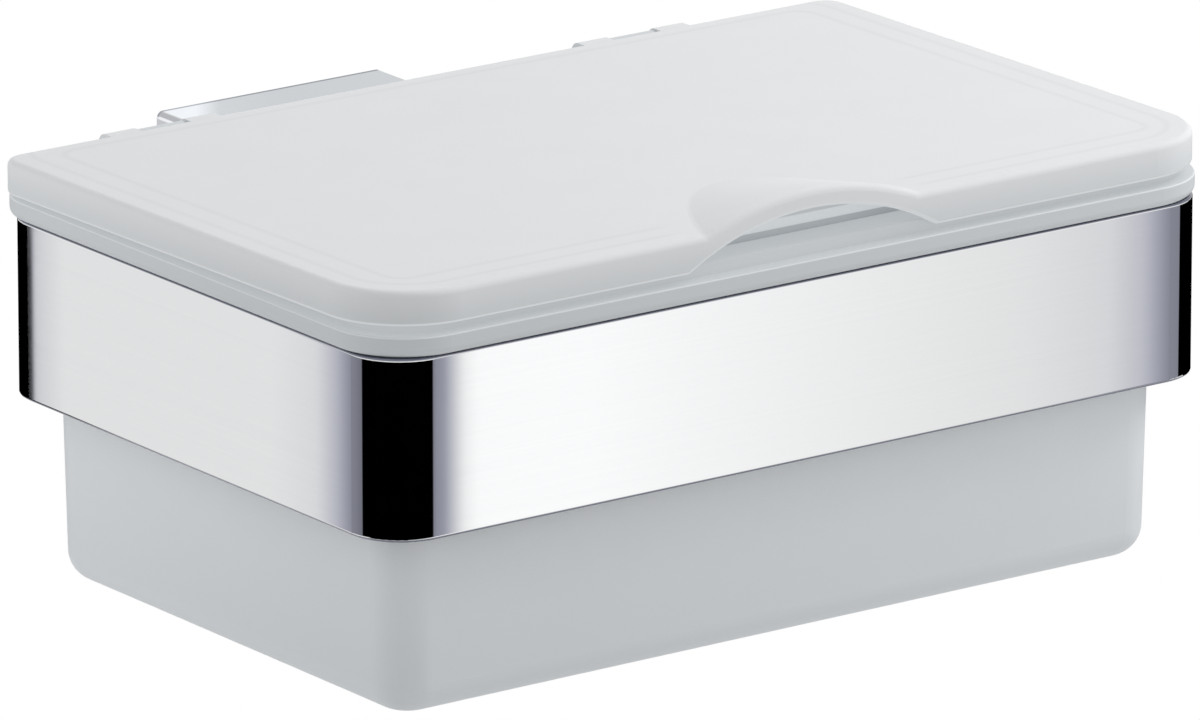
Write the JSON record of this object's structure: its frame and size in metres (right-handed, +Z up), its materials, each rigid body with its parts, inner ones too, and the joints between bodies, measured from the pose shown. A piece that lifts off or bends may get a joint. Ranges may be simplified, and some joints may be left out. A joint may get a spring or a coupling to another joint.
{
  "type": "moist toilet paper holder",
  "caption": "Wall-mounted holder for moist toilet paper: a polished metal band on a bracket carries a lift-out frosted tub with a hinged lid and an arched finger grip.",
  "frame": {"origin": "on the wall plane, at the middle of the bracket's back", "axes": "+X to the right seen from the front, +Y into the wall, +Z up; the box stands out along -Y"},
  "size_m": [0.1942, 0.1756, 0.089],
  "materials": {
    "polished_metal": "polished",
    "plate_metal": "satin",
    "screw_steel": "satin",
    "tub_plastic": "frosted",
    "lid_plastic": "frosted",
    "seal_rubber": "soft"
  },
  "bodies": {
    "holder": {"ring_frame": "polished_metal", "wall_bracket": "polished_metal", "wall_plate": "plate_metal", "grub_screw": "screw_steel", "bracket_screws": "screw_steel"},
    "tub": {"tub": "tub_plastic", "hinge_pin_left": "screw_steel", "hinge_pin_right": "screw_steel"},
    "lid": {"lid": "lid_plastic", "lid_seal": "seal_rubber"}
  },
  "joints": [
    {"name": "tub_lift", "type": "slide", "parent": "holder", "child": "tub", "axis": [0, 0, 1], "range_m": [0, 0.08]},
    {"name": "lid_hinge", "type": "hinge", "parent": "tub", "child": "lid", "pos_m": [0, -0.043, 0.02435], "axis": [-1, 0, 0], "range_deg": [0, 100]}
  ]
}
